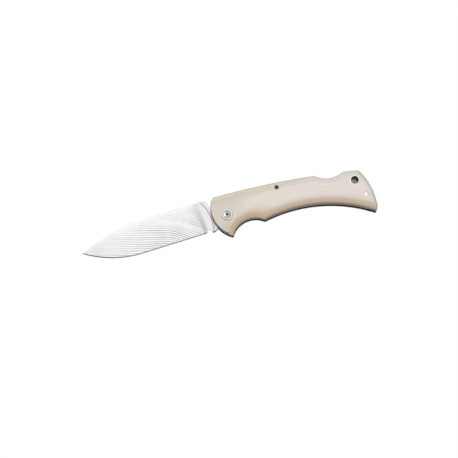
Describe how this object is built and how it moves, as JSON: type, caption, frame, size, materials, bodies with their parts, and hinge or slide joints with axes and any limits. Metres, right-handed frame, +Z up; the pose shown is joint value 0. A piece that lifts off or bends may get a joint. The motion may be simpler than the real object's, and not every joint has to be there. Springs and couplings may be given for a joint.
{
  "type": "folding pocket knife",
  "caption": "Folding pocket knife with a patterned steel blade, pale crowned grip scales, a rear-release back lock and a lined lanyard hole.",
  "frame": {"origin": "on the blade's pivot axis, in the plane of the rear scale's flat outer face, which the knife lies on", "axes": "+X along the handle to its butt, with the open blade towards -X; +Y to the spine; +Z up through the thickness, out of the front scale"},
  "size_m": [0.1978, 0.0395, 0.0146],
  "materials": {
    "blade_steel": "fine layered lines, lightly etched and polished",
    "grip_scale": "satin, ivory coloured, faint mottling",
    "black_fibre": "dull black fibre",
    "liner_steel": "blackened, ground along its length",
    "lock_steel": "ground along its length",
    "spring_steel": "blued",
    "polished_steel": "polished",
    "washer_bronze": "plain bronze",
    "blackened_steel": "blackened"
  },
  "bodies": {
    "handle": {"front_scale": "grip_scale", "rear_scale": "grip_scale", "front_fibre_sheet": "black_fibre", "rear_fibre_sheet": "black_fibre", "front_liner": "liner_steel", "rear_liner": "liner_steel", "back_spacer": "lock_steel", "lock_spring": "spring_steel", "pivot_barrel": "polished_steel", "pivot_screw": "polished_steel", "front_pivot_collar": "polished_steel", "rear_pivot_collar": "polished_steel", "front_washer": "washer_bronze", "rear_washer": "washer_bronze", "rocker_pin": "blackened_steel", "lanyard_tube": "polished_steel", "rear_pin": "polished_steel"},
    "blade": {"blade": "blade_steel"},
    "lock_bar": {"lock_bar": "lock_steel"}
  },
  "joints": [
    {"name": "blade_fold", "type": "hinge", "parent": "handle", "child": "blade", "pos_m": [0, 0, 0.0073], "axis": [0, 0, 1], "range_deg": [0, 169]},
    {"name": "lock_rock", "type": "hinge", "parent": "handle", "child": "lock_bar", "pos_m": [0.0368, 0.00805, 0.0073], "axis": [0, 0, -1], "range_deg": [-1.64, 0], "stiffness_Nm_per_rad": 0.3, "springref_deg": -3.44}
  ]
}
